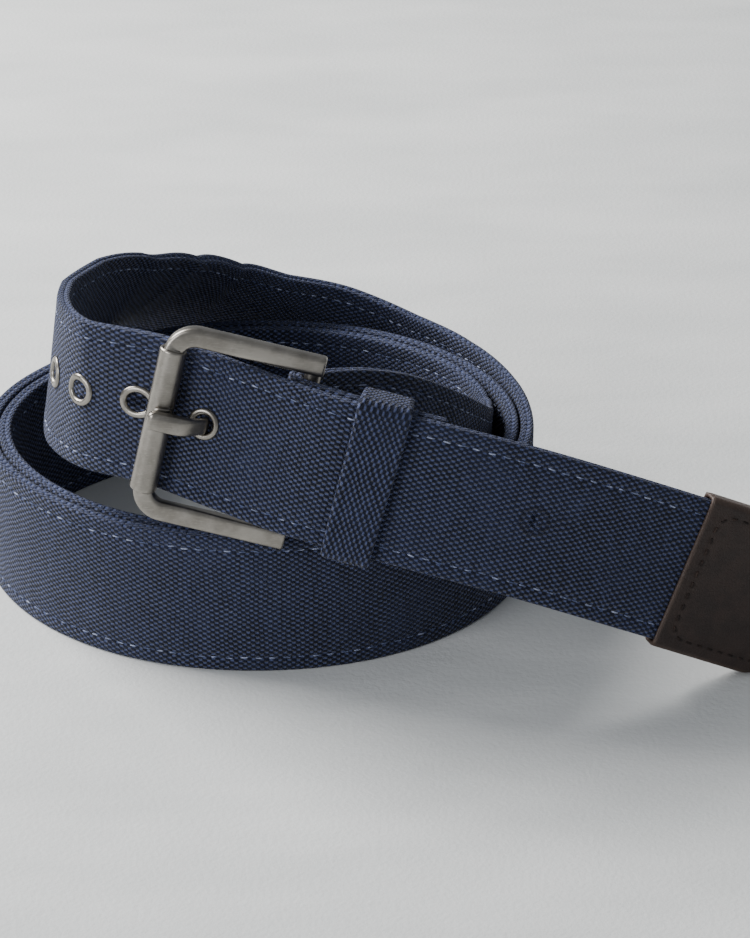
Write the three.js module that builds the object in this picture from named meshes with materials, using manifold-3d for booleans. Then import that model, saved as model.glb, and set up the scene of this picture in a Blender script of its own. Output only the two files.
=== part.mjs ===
// Canvas web belt, fastened and coiled on its edge, with its tail falling to the surface.
// Millimetres, +Z up. X runs to the right of the buckle's face and Y away from it.
import * as THREE from 'three';
import { mergeVertices } from 'three/addons/utils/BufferGeometryUtils.js';
import Module from 'manifold-3d';

// Web
const webWidth = 35;
const webThickness = 3.2;
const webEdgeRound = 0.7;
const layerGap = 0.45;
const fitGap = 0.3;

// Coil: a spiral standing on its edge, and the loop that climbs over it to the buckle
const coilRadius = 58.3;
const coilStart = 318;
const coilMeets = 390;
const coilEnd = 1080;
const coilStep = 15;
const webStep = 5.2;
const foldStep = 24;
const slotStep = 12;
const loopRise = 47.8;

// Tail beyond the buckle
const tailReach = 111;
const tailDrop = 41;

// Buckle: frame with front bar and heel bar, roller and prong
const frameLength = 34;
const railHeight = 4.6;
const railThickness = 3.4;
const railClearance = 1.4;
const frameCorner = 9;
const frameBevel = 1.1;
const frameNose = 2.5;
const frameShoulder = 3.5;
const frontBarRadius = 2.1;
const rollerRadius = 3.1;
const rollerLengthOverall = 34.4;
const rollerBoreRadius = 2.4;
const rollerEndGap = 0.35;
const rollerChamfer = 0.4;
const heelBarRadius = 1.9;
const heelInset = 2.4;
const heelSetBack = 2.2;
const prongRadius = 1.8;
const prongShankHalf = 1;
const prongEyeWall = 1.3;
const prongTipOverRoller = 2.4;
const prongSlotMargin = 0.8;
const prongSides = 12;
const prongSteps = 34;

// Frame's place: where the web's lower edge passes the roller, and how the frame is turned
const buckleX = -24.3;
const buckleY = -57.5;
const buckleZ = 46.5;
const buckleYaw = -5;
const buckleFall = 12.5;
const buckleLean = 7;

// Holes, eyelets, keeper and leather tip
const holePitch = 14;
const eyeletCount = 4;
const plainHoleFromProng = 76.5;
const plainHoleRadius = 1.9;
const eyeletHoleRadius = 3;
const eyeletBoreRadius = 2.3;
const eyeletFlangeRadius = 3.8;
const eyeletFlangeThickness = 0.5;
const eyeletFlangeRound = 0.2;
const eyeletSeat = 0.85;
const prongHoleFromRoller = 11;
const holeAboveMiddle = 1.3;
const keeperFromFrame = 9;
const keeperWidth = 11;
const keeperWall = 2;
const keeperRoom = 0.7;
const keeperRound = 0.4;
const keeperStep = 4;
const tipLength = 29;
const tipWall = 1;
const tipCorner = 7;
const tipSetBack = 1.3;
const tipEnd = 1.5;
const tipStep = 5;
const pocketMouth = 3;

const colours = {
  canvas: [0x2a3152, 0.9, 0],
  leather: [0x32241f, 0.6, 0],
  pewter: [0x8f8a80, 0.4, 0.9],
};

// The coil's plan: distance from its middle, as a share of coilRadius, for one turn
const coilShape = [
  { at: 0, radius: 0.985 },
  { at: 45, radius: 0.94 },
  { at: 90, radius: 0.9 },
  { at: 135, radius: 0.925 },
  { at: 180, radius: 1.02 },
  { at: 225, radius: 0.975 },
  { at: 270, radius: 0.94 },
  { at: 315, radius: 0.962 },
];

// From the heel bar down into the coil: lower edge, x and y as shares of coilRadius and
// height as a share of the web's height at the heel bar
const descent = [
  { x: 0.31, y: -0.9, height: 0.889, lean: 4 },
  { x: 0.43, y: -0.81, height: 0.799, lean: 4 },
  { x: 0.575, y: -0.685, height: 0.634, lean: 4 },
  { x: 0.715, y: -0.53, height: 0.434, lean: 3 },
  { x: 0.84, y: -0.33, height: 0.226, lean: 2 },
  { x: 0.92, y: -0.09, height: 0.069, lean: 1 },
  { x: 0.945, y: 0.16, height: 0, lean: 0 },
];

// The loop from the coil's right side over its back left and round to the buckle: lower
// edge, x and y as shares of coilRadius, height as a share of loopRise, inward lean
const climb = [
  { x: 1.05, y: 0.42, height: 0, lean: 0 },
  { x: 0.86, y: 0.78, height: 0.02, lean: 1 },
  { x: 0.56, y: 1.02, height: 0.08, lean: 3 },
  { x: 0.22, y: 1.135, height: 0.21, lean: 8 },
  { x: -0.12, y: 1.15, height: 0.345, lean: 17 },
  { x: -0.447, y: 1.102, height: 0.55, lean: 34 },
  { x: -0.704, y: 0.847, height: 0.765, lean: 48 },
  { x: -0.81, y: 0.5, height: 0.78, lean: 33 },
  { x: -0.84, y: 0.16, height: 0.81, lean: 18 },
  { x: -0.85, y: -0.25, height: 0.87, lean: 9 },
  { x: -0.8, y: -0.6, height: 0.93, lean: 8 },
  { x: -0.66, y: -0.85, height: 0.97, lean: 7 },
];

// The tail from the heel bar to its tip: along and across as shares of tailReach, height as
// a share of tailDrop
const tailRun = [
  { along: 0.1, across: -0.028, height: 0.95, lean: 7 },
  { along: 0.26, across: -0.045, height: 0.84, lean: 8 },
  { along: 0.47, across: -0.035, height: 0.65, lean: 8 },
  { along: 0.72, across: 0.01, height: 0.36, lean: 8 },
  { along: 1, across: 0.075, height: 0.008, lean: 8 },
];

const wasm = await Module();
wasm.setup();
const { Manifold, Mesh: ManifoldMesh } = wasm;

const rad = THREE.MathUtils.degToRad;
const vec = (x, y, z) => new THREE.Vector3(x, y, z);
const up = vec(0, 0, 1);

// Solids: to and from the boolean library
function toSolid(geometry) {
  const bare = geometry.clone();
  bare.deleteAttribute('normal');
  bare.deleteAttribute('uv');
  const merged = mergeVertices(bare, 1e-4);
  const vertProperties = new Float32Array(merged.attributes.position.array);
  const triVerts = new Uint32Array(merged.index.array);
  return new Manifold(new ManifoldMesh({ numProp: 3, vertProperties, triVerts }));
}

function toGeometry(solid) {
  const mesh = solid.getMesh();
  const geometry = new THREE.BufferGeometry();
  const positions = new Float32Array(mesh.vertProperties);
  geometry.setAttribute('position', new THREE.BufferAttribute(positions, 3));
  geometry.setIndex([...mesh.triVerts]);
  geometry.computeVertexNormals();
  return geometry;
}

const lathe = (profile, sides) => new THREE.LatheGeometry(
  profile.map(([radius, height]) => new THREE.Vector2(radius, height)), sides,
);

// A solid through rings of equally many points, closed by a fan at each end
function loft(rings) {
  const count = rings[0].length;
  const positions = rings.flat().flatMap((p) => [p.x, p.y, p.z]);
  const index = [];
  for (let i = 0; i < rings.length - 1; i += 1) {
    for (let j = 0; j < count; j += 1) {
      const a = i * count + j;
      const b = i * count + ((j + 1) % count);
      index.push(a, b, a + count, b, b + count, a + count);
    }
  }
  const last = (rings.length - 1) * count;
  for (let j = 1; j < count - 1; j += 1) {
    index.push(0, j + 1, j);
    index.push(last, last + j, last + j + 1);
  }
  const geometry = new THREE.BufferGeometry();
  geometry.setAttribute('position', new THREE.BufferAttribute(new Float32Array(positions), 3));
  geometry.setIndex(index);
  return geometry;
}

// The coil's shape at an angle, smooth through the table's rows
function coilShare(angle) {
  const turn = ((angle % 360) + 360) % 360;
  const step = 360 / coilShape.length;
  const at = Math.floor(turn / step);
  const t = turn / step - at;
  const row = (i) => coilShape[(at + i + coilShape.length) % coilShape.length].radius;
  const [a, b, c, d] = [row(-1), row(0), row(1), row(2)];
  return b + 0.5 * t * (c - a + t * (2 * a - 5 * b + 4 * c - d + t * (3 * (b - c) + d - a)));
}

function coilPoint(angle) {
  const turns = (angle - coilStart) / 360;
  const radius = coilShare(angle) * coilRadius + turns * (webThickness + layerGap);
  return vec(radius * Math.cos(rad(angle)), radius * Math.sin(rad(angle)), 0);
}

// The buckle's own axes: along its rails, across them and out of its face
const along = vec(
  Math.cos(rad(buckleYaw)) * Math.cos(rad(buckleFall)),
  Math.sin(rad(buckleYaw)) * Math.cos(rad(buckleFall)),
  -Math.sin(rad(buckleFall)),
);
const across = up.clone().addScaledVector(along, -up.dot(along)).normalize()
  .applyAxisAngle(along, -rad(buckleLean));
const outward = along.clone().cross(across);

// Where the tail lies against the roller and against the folded web on the heel bar
const foldRadius = heelBarRadius + fitGap + webThickness / 2;
const tailBehindRoller = rollerRadius + 2 * fitGap + webThickness / 2;
const tailBeforeHeel = foldRadius - heelSetBack + webThickness + 2 * layerGap;
const heelAt = frameLength - heelInset;
const rollerMiddle = vec(buckleX, buckleY, buckleZ)
  .addScaledVector(across, webWidth / 2)
  .addScaledVector(outward, tailBehindRoller);
const inBuckle = (run, rise, front) => rollerMiddle.clone()
  .addScaledVector(along, run)
  .addScaledVector(across, rise)
  .addScaledVector(outward, front);

// The web's lower edge as control rows: place, and the direction across the web
function acrossAt(before, after, lean) {
  const tangent = after.clone().sub(before).normalize();
  const flat = vec(tangent.x, tangent.y, 0).normalize();
  const upright = up.clone().addScaledVector(tangent, -up.dot(tangent)).normalize();
  const inward = up.clone().cross(flat);
  return upright.multiplyScalar(Math.cos(rad(lean)))
    .addScaledVector(inward, Math.sin(rad(lean)))
    .normalize();
}

function withAcross(rows) {
  return rows.map((row, i) => {
    const before = rows[Math.max(i - 1, 0)].at;
    const after = rows[Math.min(i + 1, rows.length - 1)].at;
    return { at: row.at, across: row.across ?? acrossAt(before, after, row.lean) };
  });
}

const low = -webWidth / 2;
const tailHeel = inBuckle(heelAt, low, tailBeforeHeel);
const heelHeight = inBuckle(heelAt, low, 0).z;
const tailRows = tailRun.map((row) => ({
  at: vec(
    tailHeel.x + row.along * tailReach,
    tailHeel.y + row.across * tailReach,
    row.height * tailDrop,
  ),
  lean: row.lean,
}));

function webControls() {
  const rows = [];
  const spacing = webThickness + layerGap;
  // The folded end lies behind the tail and runs back to the heel bar
  for (const i of [1, 0]) {
    const before = i > 0 ? tailRows[i - 1].at : tailHeel;
    const run = tailRows[i + 1].at.clone().sub(before).normalize();
    const rise = acrossAt(before, tailRows[i + 1].at, tailRows[i].lean);
    rows.push({ at: tailRows[i].at.clone().addScaledVector(run.cross(rise), -spacing), across: rise });
  }
  // Round the heel bar
  for (let turn = 0; turn <= 180; turn += 30) {
    const run = heelAt - foldRadius * Math.sin(rad(turn));
    const front = foldRadius * Math.cos(rad(turn)) - heelSetBack;
    rows.push({ at: inBuckle(run, low, front), across });
  }
  for (const { x, y, height, lean } of descent) {
    rows.push({ at: vec(x * coilRadius, y * coilRadius, height * heelHeight), lean });
  }
  for (let angle = coilMeets; angle <= coilEnd; angle += coilStep) {
    rows.push({ at: coilPoint(angle), lean: 0 });
  }
  for (const { x, y, height, lean } of climb) {
    rows.push({ at: vec(x * coilRadius, y * coilRadius, height * loopRise), lean });
  }
  rows.push({ at: inBuckle(0, low, -tailBehindRoller), across });
  rows.push({ at: inBuckle(heelAt / 2, low, (tailBeforeHeel - tailBehindRoller) / 2), across });
  rows.push({ at: tailHeel, across });
  rows.push(...tailRows);
  return withAcross(rows);
}

const controls = webControls();
const edgeCurve = new THREE.CatmullRomCurve3(controls.map((row) => row.at), false, 'centripetal');
edgeCurve.arcLengthDivisions = 3000;
const webLength = edgeCurve.getLength();

// The web's place at a length from its folded end: lower edge, along, across and out of its face
function webFrame(length) {
  const t = edgeCurve.getUtoTmapping(0, THREE.MathUtils.clamp(length, 0, webLength));
  const at = edgeCurve.getPoint(t);
  at.z = Math.max(at.z, 0);
  const tangent = edgeCurve.getTangent(t);
  const index = t * (controls.length - 1);
  const first = Math.min(Math.floor(index), controls.length - 2);
  const rise = controls[first].across.clone().lerp(controls[first + 1].across, index - first);
  rise.addScaledVector(tangent, -rise.dot(tangent)).normalize();
  return { at, along: tangent, across: rise, outward: tangent.clone().cross(rise) };
}

// A section of the web: its outline in across and outward sizes
function sectionRing(frame, lowEdge, highEdge, backFace, frontFace, round) {
  const outline = [
    [lowEdge + round, backFace], [highEdge - round, backFace], [highEdge, backFace + round],
    [highEdge, frontFace - round], [highEdge - round, frontFace], [lowEdge + round, frontFace],
    [lowEdge, frontFace - round], [lowEdge, backFace + round],
  ];
  return outline.map(([rise, front]) => frame.at.clone()
    .addScaledVector(frame.across, rise)
    .addScaledVector(frame.outward, front));
}

function lengthsBetween(from, to, step) {
  const count = Math.max(2, Math.ceil((to - from) / step));
  return Array.from({ length: count + 1 }, (_, i) => from + (to - from) * (i / count));
}

// Length along the web of the point nearest to a place on its lower edge
function lengthNear(place, from) {
  let best = from;
  let nearest = Infinity;
  for (let length = from; length <= webLength; length += 0.25) {
    const gap = webFrame(length).at.distanceTo(place);
    if (gap < nearest) {
      nearest = gap;
      best = length;
    }
  }
  return best;
}

const halfWeb = webThickness / 2;
const holeRise = webWidth / 2 + holeAboveMiddle;
const rollerLength = lengthNear(inBuckle(0, low, -tailBehindRoller), webLength * 0.7);
const heelLength = lengthNear(tailHeel, rollerLength);
const foldLength = lengthNear(inBuckle(heelAt, low, foldRadius - heelSetBack), 0);
const prongHoleLength = rollerLength + prongHoleFromRoller;

function webSolid() {
  const foldEnd = foldLength + Math.PI * foldRadius;
  const lengths = [
    ...lengthsBetween(0, foldLength, webStep),
    ...lengthsBetween(foldLength, foldEnd, foldRadius * rad(foldStep)).slice(1),
    ...lengthsBetween(foldEnd, webLength - tipLength, webStep).slice(1),
    ...lengthsBetween(webLength - tipLength, webLength, tipStep).slice(1),
  ];
  const rings = lengths.map((length) => sectionRing(
    webFrame(length), 0, webWidth, -halfWeb, halfWeb, webEdgeRound,
  ));
  return toSolid(loft(rings));
}

// The slot in the fold round the heel bar, where the prong's eye turns
function prongSlot() {
  const half = prongRadius + prongSlotMargin;
  const middle = foldLength + (Math.PI / 2) * foldRadius;
  const reach = (Math.PI / 2) * foldRadius + heelBarRadius + fitGap + prongEyeWall + prongSlotMargin;
  const face = halfWeb + layerGap / 2;
  const lengths = lengthsBetween(middle - reach, middle + reach, foldRadius * rad(slotStep));
  const rings = lengths.map((length) => sectionRing(
    webFrame(length), holeRise - half, holeRise + half, -face, face, layerGap / 2,
  ));
  return toSolid(loft(rings));
}

// The axes of a hole through the web at a length from its folded end
function holeBasis(length) {
  const { at, along: run, across: rise, outward: face } = webFrame(length);
  return new THREE.Matrix4().makeBasis(run, face, rise.clone().negate())
    .setPosition(at.clone().addScaledVector(rise, holeRise));
}

function holeCutter(length, radius) {
  const pin = new THREE.CylinderGeometry(radius, radius, 2 * webThickness + layerGap, 20);
  return toSolid(pin.applyMatrix4(holeBasis(length)));
}

function ringThroughWeb(length) {
  const face = halfWeb + eyeletSeat;
  const flange = face + eyeletFlangeThickness;
  const profile = [
    [eyeletBoreRadius, -flange], [eyeletFlangeRadius, eyeletFlangeRound - flange],
    [eyeletFlangeRadius, -face], [eyeletHoleRadius - fitGap, -face],
    [eyeletHoleRadius - fitGap, face], [eyeletFlangeRadius, face],
    [eyeletFlangeRadius, flange - eyeletFlangeRound], [eyeletBoreRadius, flange],
    [eyeletBoreRadius, -flange],
  ];
  return lathe(profile, 16).applyMatrix4(holeBasis(length));
}

// The tip cover: a closed box round the web's end, with a pocket for the web
function tipParts() {
  const start = webLength - tipLength;
  const outer = halfWeb + fitGap + tipWall;
  const lengths = lengthsBetween(start, webLength, tipStep);
  const end = webFrame(webLength);
  const beyond = (reach) => ({ ...end, at: end.at.clone().addScaledVector(end.along, reach) });
  const coverRing = (frame) => sectionRing(
    frame, -tipSetBack, webWidth + tipSetBack, -outer, outer, tipWall / 2,
  );
  const room = halfWeb + fitGap;
  const pocketRing = (frame) => sectionRing(frame, -fitGap, webWidth + fitGap, -room, room, fitGap);
  const coverFrames = [...lengths.map(webFrame), beyond(tipEnd)];
  const pocketFrames = [webFrame(start - pocketMouth), ...coverFrames.slice(1, -1), beyond(fitGap)];
  return {
    cover: toSolid(loft(coverFrames.map(coverRing))),
    pocket: toSolid(loft(pocketFrames.map(pocketRing))),
    end,
  };
}

// Corner waste: what is cut away so that the end's corners are round
function cornerWaste(end, edge, sign, radius, reach) {
  const middle = end.at.clone().addScaledVector(end.along, reach - radius)
    .addScaledVector(end.across, edge - sign * radius);
  const corner = radius + webThickness;
  const shape = new THREE.Shape();
  shape.moveTo(0, corner);
  shape.lineTo(corner, corner);
  shape.lineTo(corner, 0);
  shape.lineTo(radius, 0);
  shape.absarc(0, 0, radius, 0, Math.PI / 2, false);
  const depth = 3 * (webThickness + tipWall);
  const block = new THREE.ExtrudeGeometry(shape, { depth, bevelEnabled: false, curveSegments: 6 });
  block.translate(0, 0, -depth / 2);
  const vertical = end.across.clone().multiplyScalar(sign);
  const out = end.along.clone().cross(vertical);
  return block.applyMatrix4(new THREE.Matrix4().makeBasis(end.along, vertical, out).setPosition(middle));
}

function rounded(solid, end, lowEdge, highEdge, radius, reach) {
  return solid
    .subtract(toSolid(cornerWaste(end, highEdge, 1, radius, reach)))
    .subtract(toSolid(cornerWaste(end, lowEdge, -1, radius, reach)));
}

// Buckle pieces, made on the frame's axes: x along the rails, y across, z out of the face
const buckleBasis = new THREE.Matrix4().makeBasis(along, across, outward).setPosition(rollerMiddle);
const windowHalf = webWidth / 2 + railClearance;
const outerHalf = windowHalf + railHeight;

function bar(radius, length, x, z, sides) {
  const rod = new THREE.CylinderGeometry(radius, radius, length, sides);
  return rod.translate(x, 0, z);
}

function frameGeometry() {
  const shape = new THREE.Shape();
  const right = frameLength;
  const left = -frameNose;
  shape.moveTo(right, -outerHalf);
  shape.lineTo(right, -windowHalf);
  shape.lineTo(left + frameCorner, -windowHalf);
  shape.lineTo(frameShoulder, -rollerLengthOverall / 2);
  shape.lineTo(frameShoulder, rollerLengthOverall / 2);
  shape.lineTo(left + frameCorner, windowHalf);
  shape.lineTo(right, windowHalf);
  shape.lineTo(right, outerHalf);
  shape.lineTo(left + frameCorner, outerHalf);
  const middle = left + frameCorner;
  shape.absarc(middle, outerHalf - frameCorner, frameCorner, rad(90), rad(139), false);
  shape.lineTo(-frontBarRadius, windowHalf);
  shape.lineTo(-frontBarRadius, -windowHalf);
  shape.absarc(middle, frameCorner - outerHalf, frameCorner, rad(221), rad(270), false);
  const body = new THREE.ExtrudeGeometry(shape, {
    depth: railThickness - 2 * frameBevel,
    bevelEnabled: true,
    bevelThickness: frameBevel,
    bevelSize: frameBevel,
    bevelOffset: -frameBevel,
    bevelSegments: 3,
    curveSegments: 8,
  });
  body.translate(0, 0, frameBevel - railThickness / 2);
  const rollerRoom = 2 * (rollerRadius + layerGap);
  const rollerSpace = rollerLengthOverall + 2 * rollerEndGap;
  const cutBar = new THREE.BoxGeometry(rollerRoom, rollerSpace, rollerRoom);
  const heel = bar(heelBarRadius, 2 * windowHalf + railHeight, heelAt, -heelSetBack, 14);
  const front = bar(frontBarRadius, 2 * windowHalf + railHeight, 0, 0, 14);
  return toSolid(body)
    .subtract(toSolid(cutBar))
    .add(toSolid(front))
    .add(toSolid(heel));
}

function rollerGeometry() {
  const half = rollerLengthOverall / 2;
  const chamfer = rollerChamfer;
  const profile = [
    [rollerBoreRadius, -half], [rollerRadius - chamfer, -half], [rollerRadius, -half + chamfer],
    [rollerRadius, half - chamfer], [rollerRadius - chamfer, half], [rollerBoreRadius, half],
    [rollerBoreRadius, -half],
  ];
  return lathe(profile, 24);
}

function prongGeometry() {
  const eyeRadius = heelBarRadius + fitGap + prongEyeWall / 2;
  const front = rollerRadius + fitGap + prongRadius;
  const hole = prongHoleFromRoller;
  const tailSlope = (tailBeforeHeel + tailBehindRoller) / heelAt;
  const tailMiddle = (run) => run * tailSlope - tailBehindRoller;
  const behind = halfWeb + layerGap + 2 * prongShankHalf;
  const path = new THREE.CatmullRomCurve3([
    vec(-prongTipOverRoller, 0, front - 0.15),
    vec(1.5, 0, front),
    vec(hole - 4.4, 0, front - 0.7),
    vec(hole - 1.1, 0, tailMiddle(hole) + halfWeb + 1.6),
    vec(hole, 0, tailMiddle(hole)),
    vec(hole + 1.5, 0, tailMiddle(hole) - halfWeb - 1.9),
    vec(hole + 6, 0, tailMiddle(hole + 6) - behind - 1.2),
    vec(heelAt - eyeRadius - 3, 0, -heelSetBack - 0.6),
    vec(heelAt - eyeRadius - 0.3, 0, -heelSetBack),
  ]);
  const rings = [];
  for (let i = 0; i <= prongSteps; i += 1) {
    const t = i / prongSteps;
    const at = path.getPoint(t);
    const tangent = path.getTangent(t);
    const side = vec(0, 1, 0);
    const normal = side.clone().cross(tangent).normalize();
    const nose = Math.min(1, 0.45 + 0.55 * Math.sqrt(Math.min(1, t * 14)));
    const width = prongRadius * nose * 1.05;
    const thin = THREE.MathUtils.smoothstep(at.x, hole - 6, hole - 2);
    const depth = nose * THREE.MathUtils.lerp(prongRadius * 0.95, prongShankHalf, thin);
    rings.push(Array.from({ length: prongSides }, (_, j) => {
      const turn = -(j / prongSides) * Math.PI * 2;
      return at.clone()
        .addScaledVector(side, Math.cos(turn) * width)
        .addScaledVector(normal, Math.sin(turn) * depth);
    }));
  }
  const eyeBore = heelBarRadius + fitGap;
  const eye = bar(eyeBore + prongEyeWall, 2 * prongRadius, heelAt, -heelSetBack, 16);
  const bore = bar(eyeBore, 4 * prongRadius, heelAt, -heelSetBack, 16);
  return toSolid(loft(rings))
    .add(toSolid(eye))
    .subtract(toSolid(bore))
    .translate([0, holeAboveMiddle, 0]);
}

function keeperGeometry() {
  const from = heelLength + (frameLength - heelAt) + keeperFromFrame;
  const spacing = webThickness + layerGap;
  const back = -halfWeb - spacing - keeperRoom;
  const front = halfWeb + fitGap;
  const lengths = lengthsBetween(from, from + keeperWidth, keeperStep);
  const ring = (length, wall) => sectionRing(
    webFrame(length),
    -fitGap - wall,
    webWidth + fitGap + wall,
    back - wall,
    front + wall,
    keeperRound * (1 + wall),
  );
  const outer = toSolid(loft(lengths.map((length) => ring(length, keeperWall))));
  const inside = [from - keeperWall, ...lengths.slice(1, -1), from + keeperWidth + keeperWall];
  return outer.subtract(toSolid(loft(inside.map((length) => ring(length, 0)))));
}

const group = new THREE.Group();
function place(name, solid, [color, roughness, metalness]) {
  const geometry = solid.isBufferGeometry ? solid : toGeometry(solid);
  const mesh = new THREE.Mesh(geometry, new THREE.MeshStandardMaterial({ color, roughness, metalness }));
  mesh.name = name;
  group.add(mesh);
}

const eyeletLengths = Array.from(
  { length: eyeletCount }, (_, i) => prongHoleLength - i * holePitch,
);
const tip = tipParts();
const webCorner = tipCorner - tipSetBack;
let web = rounded(webSolid(), tip.end, 0, webWidth, webCorner, 0);
for (const length of eyeletLengths) {
  web = web.subtract(holeCutter(length, eyeletHoleRadius));
}
web = web.subtract(holeCutter(prongHoleLength + plainHoleFromProng, plainHoleRadius));
web = web.subtract(prongSlot());
const pocket = rounded(
  tip.pocket, tip.end, -fitGap, webWidth + fitGap, webCorner + fitGap, fitGap,
);
const cover = rounded(
  tip.cover.subtract(pocket), tip.end, -tipSetBack, webWidth + tipSetBack, tipCorner, tipEnd,
);

place('web_strap', web, colours.canvas);
place('leather_tip', cover, colours.leather);
place('keeper_loop', keeperGeometry(), colours.canvas);
place('buckle_frame', toGeometry(frameGeometry()).applyMatrix4(buckleBasis), colours.pewter);
place('roller', rollerGeometry().applyMatrix4(buckleBasis), colours.pewter);
place('prong', toGeometry(prongGeometry()).applyMatrix4(buckleBasis), colours.pewter);
for (const [i, length] of eyeletLengths.entries()) {
  place(`eyelet_${i + 1}`, ringThroughWeb(length), colours.pewter);
}

// The origin is the middle of the footprint, on the surface
const bounds = new THREE.Box3().setFromObject(group);
const belt = new THREE.Group();
belt.add(group);
group.position.set(-(bounds.min.x + bounds.max.x) / 2, -(bounds.min.y + bounds.max.y) / 2, -bounds.min.z);

export default belt;
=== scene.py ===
"""Canvas web belt, fastened with a roller buckle and coiled on its edge.

Sizes are millimetres, as on the belt maker's drawing, and become metres where a mesh is made.
A place on the web is given by its length from the folded end, its rise above the lower edge
and its distance in front of the middle of the web's thickness.
"""

import math

import bpy
import numpy as np
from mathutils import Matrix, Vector


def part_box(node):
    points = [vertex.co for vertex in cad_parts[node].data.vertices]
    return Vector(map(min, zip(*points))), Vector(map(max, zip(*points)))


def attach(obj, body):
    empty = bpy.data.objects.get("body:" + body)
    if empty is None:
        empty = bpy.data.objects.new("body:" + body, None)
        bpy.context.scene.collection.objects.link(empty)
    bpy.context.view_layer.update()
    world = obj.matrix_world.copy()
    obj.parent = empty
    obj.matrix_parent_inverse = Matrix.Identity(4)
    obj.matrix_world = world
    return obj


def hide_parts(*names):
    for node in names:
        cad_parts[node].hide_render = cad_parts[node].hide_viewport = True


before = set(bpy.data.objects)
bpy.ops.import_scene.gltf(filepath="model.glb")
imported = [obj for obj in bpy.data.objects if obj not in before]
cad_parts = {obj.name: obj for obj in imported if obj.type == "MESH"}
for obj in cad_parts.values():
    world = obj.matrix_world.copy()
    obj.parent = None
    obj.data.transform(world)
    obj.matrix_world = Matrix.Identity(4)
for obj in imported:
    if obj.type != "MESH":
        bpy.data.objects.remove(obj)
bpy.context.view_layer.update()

MM = 0.001
UP = np.array([0.0, 0.0, 1.0])

# Web
WEB_WIDTH = 35.0
WEB_THICK = 3.2
LAYER_GAP = 0.45
FIT_GAP = 0.3
WEB_STATION = 1.1
SEAM_INSET = 3.6
SEAM_DIP = 0.28
SEAM_DIP_HALF = 0.7
FLAT_FROM_EDGE = 2.3
SHARP_EDGE = math.radians(40)
STITCH_PITCH = 3.3
STITCH_LENGTH = 2.0
STITCH_RADIUS = 0.19
YARN_ALONG = 1.02
YARN_ACROSS = 0.64

# Coil, loop and tail
COIL_RADIUS = 58.3
COIL_START = 318
COIL_MEETS = 390
COIL_END = 1080
COIL_STEP = 15
LOOP_RISE = 47.8
TAIL_REACH = 111.0
TAIL_DROP = 41.0

# Buckle
FRAME_LENGTH = 34.0
RAIL_HEIGHT = 4.6
RAIL_THICK = 3.4
RAIL_CLEARANCE = 1.4
RAIL_BEND = 5.2
RAIL_ROUND = 0.7
SHOULDER_STEP = 0.06
FRONT_BAR_RADIUS = 2.1
ROLLER_RADIUS = 3.1
ROLLER_LENGTH = 34.4
ROLLER_BORE = 2.4
ROLLER_SEAT = 0.35
ROLLER_ROUND = 0.5
HEEL_BAR_RADIUS = 1.9
HEEL_INSET = 2.4
HEEL_SET_BACK = 2.2
PRONG_RADIUS = 1.8
PRONG_SHANK_HALF = 1.0
PRONG_EYE_WALL = 1.3
PRONG_TIP_OVER = 2.4
PRONG_SLOT_MARGIN = 0.8
BUCKLE_PLACE = np.array([-24.3, -57.5, 46.5])
BUCKLE_YAW = -5
BUCKLE_FALL = 12.5
BUCKLE_LEAN = 7

# Holes, keeper and leather tip
HOLE_PITCH = 14.0
EYELETS = 4
PLAIN_HOLE_FROM_PRONG = 76.5
PLAIN_HOLE_RADIUS = 1.9
PRESSED_RING = 3.1
EYELET_HOLE_RADIUS = 2.9
EYELET_BORE = 2.2
EYELET_RIM = 3.8
PRONG_HOLE_FROM_ROLLER = 11.0
HOLE_ABOVE_MIDDLE = 1.3
KEEPER_FROM_FRAME = 9.0
KEEPER_WIDTH = 11.0
KEEPER_WALL = 2.0
KEEPER_ROOM = 0.7
KEEPER_CORNER = 1.7
KEEPER_FOLD_AT = 4.55
KEEPER_SEAM_AT = 3.3
KEEPER_RIB_PITCH = 1.45
TIP_LENGTH = 29.0
TIP_WALL = 1.0
TIP_CORNER = 7.0
TIP_SET_BACK = 1.3
TIP_END = 1.5
TIP_EDGE_ROUND = 0.9
TIP_SEAM_INSET = 3.4
TIP_SEAM_CORNER = 3.6
TIP_STITCH_PITCH = 2.9
TIP_LIP = 0.5

# The coil's distance from its middle for one turn, as shares of the coil's radius
COIL_SHAPE = [0.985, 0.94, 0.9, 0.925, 1.02, 0.975, 0.94, 0.962]

# From the heel bar into the coil: x and y by the coil's radius, height by the web's at the
# heel bar, lean
DESCENT = [
    (0.31, -0.9, 0.889, 4),
    (0.43, -0.81, 0.799, 4),
    (0.575, -0.685, 0.634, 4),
    (0.715, -0.53, 0.434, 3),
    (0.84, -0.33, 0.226, 2),
    (0.92, -0.09, 0.069, 1),
    (0.945, 0.16, 0, 0),
]

# Over the coil's back left to the buckle: x and y by the coil's radius, height by the loop's
# rise, lean
CLIMB = [
    (1.05, 0.42, 0, 0),
    (0.86, 0.78, 0.02, 1),
    (0.56, 1.02, 0.08, 3),
    (0.22, 1.135, 0.21, 8),
    (-0.12, 1.15, 0.345, 17),
    (-0.447, 1.102, 0.55, 34),
    (-0.704, 0.847, 0.765, 48),
    (-0.81, 0.5, 0.78, 33),
    (-0.84, 0.16, 0.81, 18),
    (-0.85, -0.25, 0.87, 9),
    (-0.8, -0.6, 0.93, 8),
    (-0.66, -0.85, 0.97, 7),
]

# The tail: along and across by the tail's reach, height by its drop, lean
TAIL_RUN = [
    (0.1, -0.028, 0.95, 7),
    (0.26, -0.045, 0.84, 8),
    (0.47, -0.035, 0.65, 8),
    (0.72, 0.01, 0.36, 8),
    (1.0, 0.075, 0.008, 8),
]

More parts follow.
